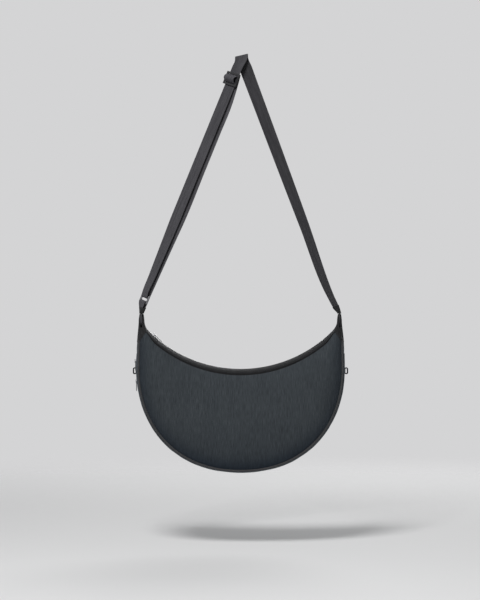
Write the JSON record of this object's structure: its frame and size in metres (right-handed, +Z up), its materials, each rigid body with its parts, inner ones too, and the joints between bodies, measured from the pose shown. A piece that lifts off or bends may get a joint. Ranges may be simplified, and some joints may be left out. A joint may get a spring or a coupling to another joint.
{
  "type": "half moon bag",
  "caption": "Crescent shoulder bag with a curved top zip, a zip round its gusset and a flat webbing strap with ring and adjuster.",
  "frame": {"origin": "underside of the strap fold, where the hanging bag meets its hook", "axes": "+X right seen from the front, -Y front, +Z up"},
  "size_m": [0.4104, 0.086, 0.7918],
  "materials": {
    "shell_fabric": "matte heathered woven cloth",
    "lining_fabric": "plain lining cloth",
    "trim_fabric": "ribbed binding cloth",
    "zip_tape": "woven zip tape",
    "zip_teeth": "moulded nylon",
    "slider_metal": "bright plated",
    "pull_metal": "dark plated",
    "webbing": "flat woven webbing",
    "ring_metal": "satin plated",
    "adjuster_plastic": "fine moulded"
  },
  "bodies": {
    "strap": {"strap_left_run": "webbing", "strap_ring_turn": "webbing", "strap_return_run": "webbing", "strap_right_run": "webbing", "strap_ring": "ring_metal", "ring_tab": "webbing"},
    "adjuster": {"adjuster_frame": "adjuster_plastic", "adjuster_crossover": "webbing"},
    "bag": {"front_panel": "shell_fabric", "back_panel": "shell_fabric", "gusset_front_strip": "shell_fabric", "gusset_back_strip": "shell_fabric", "gusset_left_end": "shell_fabric", "gusset_right_end": "shell_fabric", "front_lining": "lining_fabric", "back_lining": "lining_fabric", "front_piping": "trim_fabric", "back_piping": "trim_fabric", "left_horn_cap": "trim_fabric", "right_horn_cap": "trim_fabric", "left_top_facing": "trim_fabric", "right_top_facing": "trim_fabric", "left_side_loop": "trim_fabric", "right_side_loop": "trim_fabric", "gusset_zip_front_tape": "zip_tape", "gusset_zip_back_tape": "zip_tape", "gusset_zip_front_coil": "zip_teeth", "gusset_zip_back_coil": "zip_teeth", "gusset_zip_stops": "slider_metal", "main_zip_left_end": "zip_tape", "main_zip_right_end": "zip_tape", "main_zip_stops": "slider_metal"},
    "front_lip": {"front_facing": "trim_fabric", "main_zip_front_tape": "zip_tape", "main_zip_front_teeth": "zip_teeth"},
    "back_lip": {"back_facing": "trim_fabric", "main_zip_back_tape": "zip_tape", "main_zip_back_teeth": "zip_teeth"},
    "main_slider": {"main_slider": "slider_metal"},
    "main_pull": {"main_pull": "pull_metal"},
    "upper_gusset_slider": {"upper_gusset_slider": "slider_metal"},
    "upper_gusset_pull": {"upper_gusset_pull": "pull_metal"},
    "lower_gusset_slider": {"lower_gusset_slider": "slider_metal"},
    "lower_gusset_pull": {"lower_gusset_pull": "pull_metal"}
  },
  "joints": [
    {"name": "bag_swing", "type": "hinge", "parent": "strap", "child": "bag", "pos_m": [0, 0, -0.50304], "axis": [1, 0, 0], "range_deg": [-75, 75]},
    {"name": "adjuster_slide", "type": "slide", "parent": "strap", "child": "adjuster", "axis": [-0.3774, 0.0029, -0.926], "range_m": [-0.006, 0.265]},
    {"name": "front_lip_open", "type": "hinge", "parent": "bag", "child": "front_lip", "pos_m": [0, 0, -0.54167], "axis": [-1, 0, 0], "range_deg": [0, 25]},
    {"name": "back_lip_open", "type": "hinge", "parent": "bag", "child": "back_lip", "pos_m": [0, 0, -0.54167], "axis": [1, 0, 0], "range_deg": [0, 25]},
    {"name": "main_zip_travel", "type": "hinge", "parent": "bag", "child": "main_slider", "pos_m": [0, 0, -0.346], "axis": [0, -1, 0], "range_deg": [0, 83.2]},
    {"name": "main_pull_swing", "type": "hinge", "parent": "main_slider", "child": "main_pull", "pos_m": [-0.16354, 0, -0.53024], "axis": [0, -1, 0], "range_deg": [0, 150]},
    {"name": "upper_gusset_zip_travel", "type": "hinge", "parent": "bag", "child": "upper_gusset_slider", "pos_m": [0, 0, -0.589], "axis": [0, -1, 0], "range_deg": [-0.5, 3.5]},
    {"name": "upper_gusset_pull_swing", "type": "hinge", "parent": "upper_gusset_slider", "child": "upper_gusset_pull", "pos_m": [-0.19941, 0, -0.57925], "axis": [0, 1, 0], "range_deg": [0, 150]},
    {"name": "lower_gusset_zip_travel", "type": "hinge", "parent": "bag", "child": "lower_gusset_slider", "pos_m": [0, 0, -0.589], "axis": [0, -1, 0], "range_deg": [0, 174.5]},
    {"name": "lower_gusset_pull_swing", "type": "hinge", "parent": "lower_gusset_slider", "child": "lower_gusset_pull", "pos_m": [-0.19756, 0, -0.61782], "axis": [0, 1, 0], "range_deg": [-4, 150]}
  ],
  "couplings": [
    {"joint": "back_lip_open", "follows": "front_lip_open", "ratio": 1}
  ]
}
